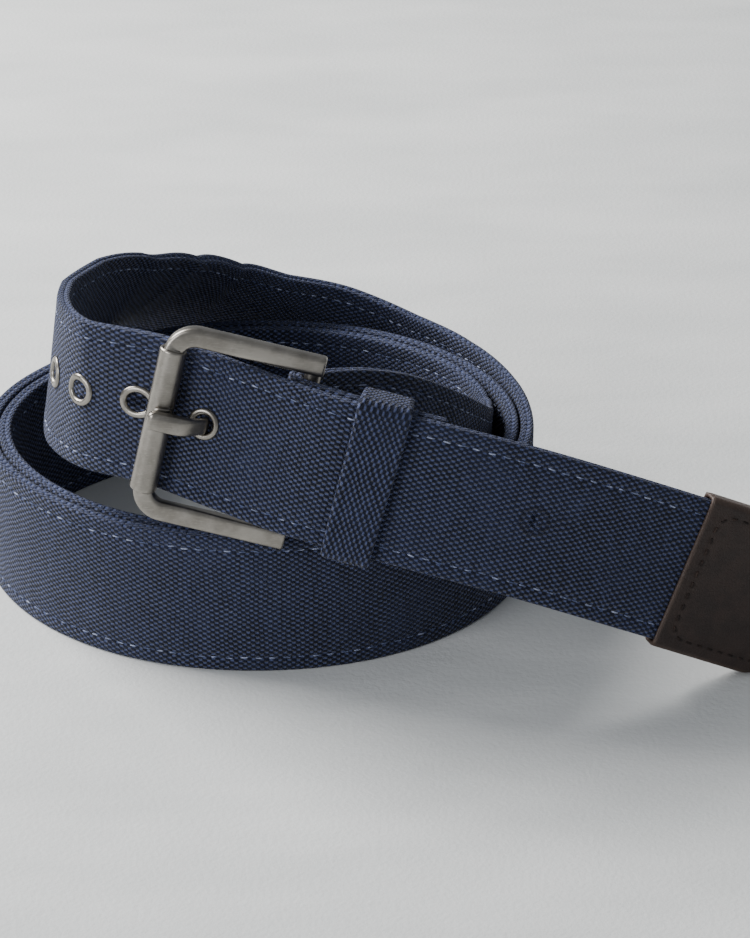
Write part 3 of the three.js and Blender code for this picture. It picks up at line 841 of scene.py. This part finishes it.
def eyelet(number, length):
    """A rolled rim on each face of the web and a bore between them: a closed outline turned
    about the hole in the web's own sizes, so that it follows the web's bend."""
    outline = np.array(EYELET_OUTLINE)
    radius, face = np.vstack([outline, outline[-2:0:-1] * [1, -1]]).T
    sides = 56
    turn = full_turn(sides)[:, None]
    rough = radius * (1 + 0.012 * np.sin(3 * turn + number))
    points = on_web(length + rough * np.cos(turn), HOLE_RISE + rough * np.sin(turn), face)
    faces = grid_faces(sides, len(face), round_rows=True)
    return new_piece(f"eyelet_metal_{number}", points, faces)


# Materials

# Painted shade: the canvas's colour in the hollows between its yarn knobs
GAP_SHADE_NAVY = (0.0035, 0.005, 0.013)
YARN_NAVY = (0.066, 0.084, 0.185)
FIBRE_BLUE = (0.19, 0.225, 0.38)
STAIN_NAVY = (0.03, 0.04, 0.1)
WORN_BLUE = (0.085, 0.105, 0.21)
HOLE_SHADE = (0.004, 0.005, 0.014)
LEATHER_DARK = (0.017, 0.0098, 0.0078)
LEATHER_LIGHT = (0.028, 0.0165, 0.013)
LEATHER_WORN = (0.085, 0.053, 0.039)
PEWTER_DARK = (0.2, 0.186, 0.165)
PEWTER_LIGHT = (0.29, 0.272, 0.245)
PEWTER_RUBBED = (0.42, 0.4, 0.365)
PEWTER_PIT = (0.12, 0.11, 0.1)
STONE_DARK = (0.56, 0.575, 0.575)
STONE_LIGHT = (0.66, 0.67, 0.668)
PALE_THREAD = [(0.045, 0.06, 0.13), (0.36, 0.4, 0.55)]
BROWN_THREAD = [(0.011, 0.007, 0.006), (0.035, 0.022, 0.017)]


class Wire:
    """A shader socket that takes Python's arithmetic, each step a Math node."""

    def __init__(self, socket):
        self.socket = socket

    def math(self, operation, *others):
        """A Math node of the operation on the values."""
        node = self.socket.id_data.nodes.new("ShaderNodeMath")
        node.operation = operation
        for place, value in zip(node.inputs, others):
            connect(value, place)
        return Wire(node.outputs[0])

    def __add__(self, other):
        return self.math("ADD", self, other)

    def __sub__(self, other):
        return self.math("SUBTRACT", self, other)

    def __rsub__(self, other):
        return self.math("SUBTRACT", other, self)

    def __mul__(self, other):
        return self.math("MULTIPLY", self, other)

    def __truediv__(self, other):
        return self.math("DIVIDE", self, other)

    def __rtruediv__(self, other):
        return self.math("DIVIDE", other, self)

    def __pow__(self, other):
        return self.math("POWER", self, other)

    def __abs__(self):
        return self.math("ABSOLUTE", self)

    __radd__ = __add__
    __rmul__ = __mul__

    def cos(self):
        """The cosine."""
        return self.math("COSINE", self)


def connect(value, place):
    """Links a socket or sets a plain value."""
    if isinstance(value, Wire):
        place.id_data.links.new(value.socket, place)
    else:
        place.default_value = value


class Finish:
    """A material and the nodes that give it its look."""

    def __init__(self, name):
        self.material = bpy.data.materials.new(name)
        self.material.use_nodes = True
        self.tree = self.material.node_tree
        self.tree.nodes.clear()

    def node(self, kind, settings=(), output=0, **inputs):
        """Adds a node: its settings first, then its sockets by name, with _ for a space."""
        node = self.tree.nodes.new("ShaderNode" + kind)
        for name, value in dict(settings).items():
            setattr(node, name, value)
        for name, value in inputs.items():
            connect(value, node.inputs[name.replace("_", " ")])
        return Wire(node.outputs[output])

    def place(self):
        """Where a point lies on the belt, in metres."""
        return self.node("TexCoord", output="Object")

    def cloth_place(self):
        """Millimetres along and across the flat cloth."""
        parts = self.node("SeparateXYZ", Vector=self.node("UVMap", {"uv_map": "cloth"}))
        across = Wire(parts.socket.node.outputs[1])
        return parts * 1000, across * 1000

    def noise(self, vector, size, detail=2.0, roughness=0.5):
        """Noise from about 0 to 1 whose lumps are size millimetres apart."""
        return self.node(
            "TexNoise", Vector=vector, Scale=1000 / size, Detail=detail, Roughness=roughness
        )

    def stretched(self, vector, scale):
        """A place scaled apart by axis, for marks that are longer one way."""
        return self.node("Mapping", Vector=vector, Scale=scale)

    def step(self, value, low, high):
        """A smooth step from 0 at low to 1 at high."""
        kind = {"interpolation_type": "SMOOTHSTEP"}
        return self.node("MapRange", kind, Value=value, From_Min=low, From_Max=high)

    def blend(self, share, first, second):
        """A colour between two, by a share from 0 to 1."""
        node = self.tree.nodes.new("ShaderNodeMix")
        node.data_type = "RGBA"
        connect(share, node.inputs[0])
        for place, color in ((6, first), (7, second)):
            connect(color if isinstance(color, Wire) else (*color, 1.0), node.inputs[place])
        return Wire(node.outputs[2])

    def relief(self, height, depth):
        """A normal from a height from 0 to 1 and its depth in millimetres."""
        return self.node("Bump", Height=height, Distance=depth * MM, Strength=1.0)

    def done(self, color, roughness, normal, **constants):
        """Closes the material with its surface."""
        looks = {"Base_Color": color, "Roughness": roughness, "Normal": normal}
        surface = self.node("BsdfPrincipled", **looks, **constants)
        end = self.tree.nodes.new("ShaderNodeOutputMaterial")
        connect(surface, end.inputs["Surface"])
        return self.material


def canvas_finish(name, middle=WEB_WIDTH / 2, half=WEB_WIDTH / 2, plain_hole=True):
    """Coarse doubled canvas: round knobs of warp in offset rows, with painted shade in the gaps
    between them, paler fibres, uneven dye and a worn edge."""
    finish = Finish(name)
    place = finish.place()
    along, across = finish.cloth_place()
    drift = (finish.noise(place, 6) - 0.5) * 1.3
    drift_across = (finish.noise(place, 4) - 0.5) * 1.1
    warp = along / YARN_ALONG + drift
    weft = across / YARN_ACROSS + along * 0.07 + drift_across
    knob = (warp * math.pi).cos() * (weft * math.pi).cos()
    warp_knob = finish.step(knob, -0.5, 0.8)
    fibre = finish.noise(place, 0.34, 3, 0.7)
    height = warp_knob + fibre * 0.38
    worn_edge = finish.step(abs(across - middle), half - 0.7, half + 1.2)
    patch = finish.noise(place, 26, 3, 0.6)
    thread = finish.noise(finish.stretched(place, (1, 1, 0.2)), 1.1, 2)
    # Painted shade: the colour darkens where the weave's height is low, in the gaps between the knobs,
    # and also varies with the threads' own random tone.
    tone = finish.step(height + (thread - 0.5) * 0.8, 0.2, 1.35)
    color = finish.blend(tone, GAP_SHADE_NAVY, YARN_NAVY)
    color = finish.blend(finish.step(fibre, 0.54, 0.8) * tone * 0.7, color, FIBRE_BLUE)
    color = finish.blend(finish.step(patch, 0.35, 0.75) * 0.3, color, STAIN_NAVY)
    color = finish.blend(worn_edge * (0.05 + fibre * 0.5), color, WORN_BLUE)
    if plain_hole:
        away = ((along - PLAIN_HOLE_AT) ** 2 + (across - HOLE_RISE) ** 2) ** 0.5
        pressed = finish.step(abs(away - PRESSED_RING), 0.75, 0.1)
        color = finish.blend(pressed * 0.55, color, HOLE_SHADE)
        height = height - pressed * 0.6
    return finish.done(
        color,
        0.86 + fibre * 0.1,
        finish.relief(height, 0.75),
        Sheen_Weight=0.12,
        Sheen_Roughness=0.45,
        Specular_IOR_Level=0.22,
    )


def thread_finish(name, dark, light):
    """Twisted thread: fine slanted plies, with painted shade in the grooves between them, and uneven
    tone.
    """
    finish = Finish(name)
    place = finish.place()
    slanted = {"bands_direction": "DIAGONAL"}
    ply_ridges_and_shade = finish.node("TexWave", slanted, Vector=place, Scale=640.0, Distortion=1.5)
    tone = finish.noise(place, 2.5, 2)
    # Painted shade: the colour darkens in the grooves between the plies, following the same waves that
    # give their relief.
    color = finish.blend(finish.step(tone, 0.4, 0.68) * 0.85 + ply_ridges_and_shade * 0.12, dark, light)
    return finish.done(color, 0.7 + tone * 0.15, finish.relief(ply_ridges_and_shade, 0.08), Specular_IOR_Level=0.3)


def leather_finish():
    """Dark leather: fine cells, soft creases, a burnished paler edge and a waxy shine."""
    finish = Finish("leather")
    place = finish.place()
    along, across = finish.cloth_place()
    upright = finish.stretched(place, (1, 1, 0.8))
    cells = finish.node("TexVoronoi", {"feature": "DISTANCE_TO_EDGE"}, Vector=upright, Scale=1250.0)
    grain = finish.step(cells, 0.0, 0.16)
    crease = finish.noise(place, 9, 5, 0.6)
    mottle = finish.noise(place, 4, 3)
    half = WEB_WIDTH / 2 + TIP_SET_BACK
    edge = finish.step(abs(across - half), half - 1.5, half - 0.1)
    mouth = finish.step(along, 1.1, 0.15)
    worn = edge.math("MAXIMUM", edge, mouth)
    color = finish.blend(finish.step(mottle, 0.3, 0.7), LEATHER_DARK, LEATHER_LIGHT)
    color = finish.blend(worn * (0.35 + crease * 0.35), color, LEATHER_WORN)
    height = grain * 0.35 + crease * 0.35
    return finish.done(
        color, 0.5 + mottle * 0.16 - worn * 0.1, finish.relief(height, 0.16), Specular_IOR_Level=0.42
    )


def pewter_finish(name):
    """Satin antique metal: fine tumbled marks, cloudy tarnish and rubbed bright patches."""
    finish = Finish(name)
    place = finish.place()
    cloud = finish.noise(place, 6, 4, 0.6)
    marks = finish.noise(finish.stretched(place, (0.25, 1, 1.6)), 0.45, 3, 0.6)
    pits = finish.step(finish.noise(place, 0.9, 2), 0.66, 0.74)
    color = finish.blend(finish.step(cloud, 0.32, 0.7), PEWTER_DARK, PEWTER_LIGHT)
    color = finish.blend(finish.step(marks, 0.5, 0.75) * 0.3, color, PEWTER_RUBBED)
    color = finish.blend(pits * 0.2, color, PEWTER_PIT)
    return finish.done(
        color,
        0.25 + cloud * 0.08 + marks * 0.1,
        finish.relief(marks * 0.5 - pits * 0.3, 0.012),
        Metallic=1.0,
    )


def floor_finish():
    """Pale stone grey with a faint cloud and grain."""
    finish = Finish("floor")
    place = finish.place()
    cloud = finish.noise(finish.stretched(place, (1, 2.4, 1)), 90, 4, 0.55)
    grain = finish.noise(place, 1.3, 3)
    color = finish.blend(finish.step(cloud, 0.25, 0.75), STONE_DARK, STONE_LIGHT)
    return finish.done(color, 0.75 + grain * 0.1, finish.relief(cloud * 3 + grain * 0.5, 0.3))


# Scene

VIEW_TARGET = [28.1, 42.4, 0.0]
VIEW_FALL = 26.5
VIEW_DISTANCE = 936
LIT_PLACE = (0, 0, 0.02)


def add_camera():
    """The photograph's view: no turn to either side, tilted down, on a place on the floor."""
    target = Vector(in_metres(VIEW_TARGET))
    fall = math.radians(VIEW_FALL)
    distance = VIEW_DISTANCE * MM
    focal_pixels, image_width, sensor = 3622, 750, 36
    camera = bpy.data.cameras.new("camera")
    camera.sensor_fit = "HORIZONTAL"
    camera.sensor_width = sensor
    camera.lens = focal_pixels / image_width * sensor
    camera.clip_start = 0.05
    view = bpy.data.objects.new("camera", camera)
    bpy.context.scene.collection.objects.link(view)
    view.location = target + Vector((0, -math.cos(fall), math.sin(fall))) * distance
    view.rotation_euler = (math.pi / 2 - fall, 0, 0)
    bpy.context.scene.camera = view


def add_light(name, place, size, power, color):
    """A rectangle of light that faces the belt."""
    light = bpy.data.lights.new(name, "AREA")
    light.shape = "RECTANGLE"
    light.size, light.size_y = size
    light.energy = power
    light.color = color
    lamp = bpy.data.objects.new(name, light)
    bpy.context.scene.collection.objects.link(lamp)
    lamp.location = place
    lamp.rotation_euler = (Vector(LIT_PLACE) - Vector(place)).to_track_quat("-Z", "Y").to_euler()


def add_studio():
    """A wide soft light from the left and back, a weak one from the front, and a pale room."""
    add_light("window", (-0.75, 0.45, 0.75), size=(0.7, 0.5), power=30, color=(1.0, 0.99, 0.97))
    add_light("front", (-0.75, -0.7, 0.5), size=(0.5, 0.5), power=7, color=(0.97, 0.98, 1.0))
    world = bpy.data.worlds.new("room")
    bpy.context.scene.world = world
    world.use_nodes = True
    room = world.node_tree.nodes["Background"]
    room.inputs["Color"].default_value = (0.86, 0.9, 0.95, 1)
    room.inputs["Strength"].default_value = 0.36


def add_floor():
    """A level square of stone just under the belt."""
    half = 3.0
    mesh = bpy.data.meshes.new("floor")
    corners = [(-half, -half, 0), (half, -half, 0), (half, half, 0), (-half, half, 0)]
    mesh.from_pydata(corners, [], [(0, 1, 2, 3)])
    floor = bpy.data.objects.new("floor", mesh)
    bpy.context.scene.collection.objects.link(floor)
    mesh.materials.append(floor_finish())


def finished(piece, material, slot, *nodes):
    """Gives a piece its material, hangs it on the root body and hides the model's parts that it takes
    the place of.
    """
    piece.data.materials.clear()
    piece.data.materials.append(material)
    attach(piece, "root")
    if nodes:
        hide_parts(*nodes)
    return piece


add_camera()
add_studio()
add_floor()

pewter = pewter_finish("pewter")
web_piece = finished(web(), canvas_finish("web canvas"), "canvas", "web_strap")
web_thread = finished(web_seams(), thread_finish("pale thread", *PALE_THREAD), "canvas")
keeper_cloth = canvas_finish("keeper canvas", 0.0, KEEPER_WIDTH / 2, False)
keeper_piece = finished(keeper(), keeper_cloth, "canvas", "keeper_loop")
finished(leather_tip(), leather_finish(), "leather", "leather_tip")
finished(tip_seam(), thread_finish("brown thread", *BROWN_THREAD), "leather")
finished(buckle_frame(), pewter, "pewter", "buckle_frame")
finished(roller(), pewter, "pewter", "roller")
finished(prong(), pewter, "pewter", "prong")
for number, length in enumerate(EYELETS_AT, 1):
    finished(eyelet(number, length), pewter, "pewter", f"eyelet_{number}")

WEB_LENGTH * MM
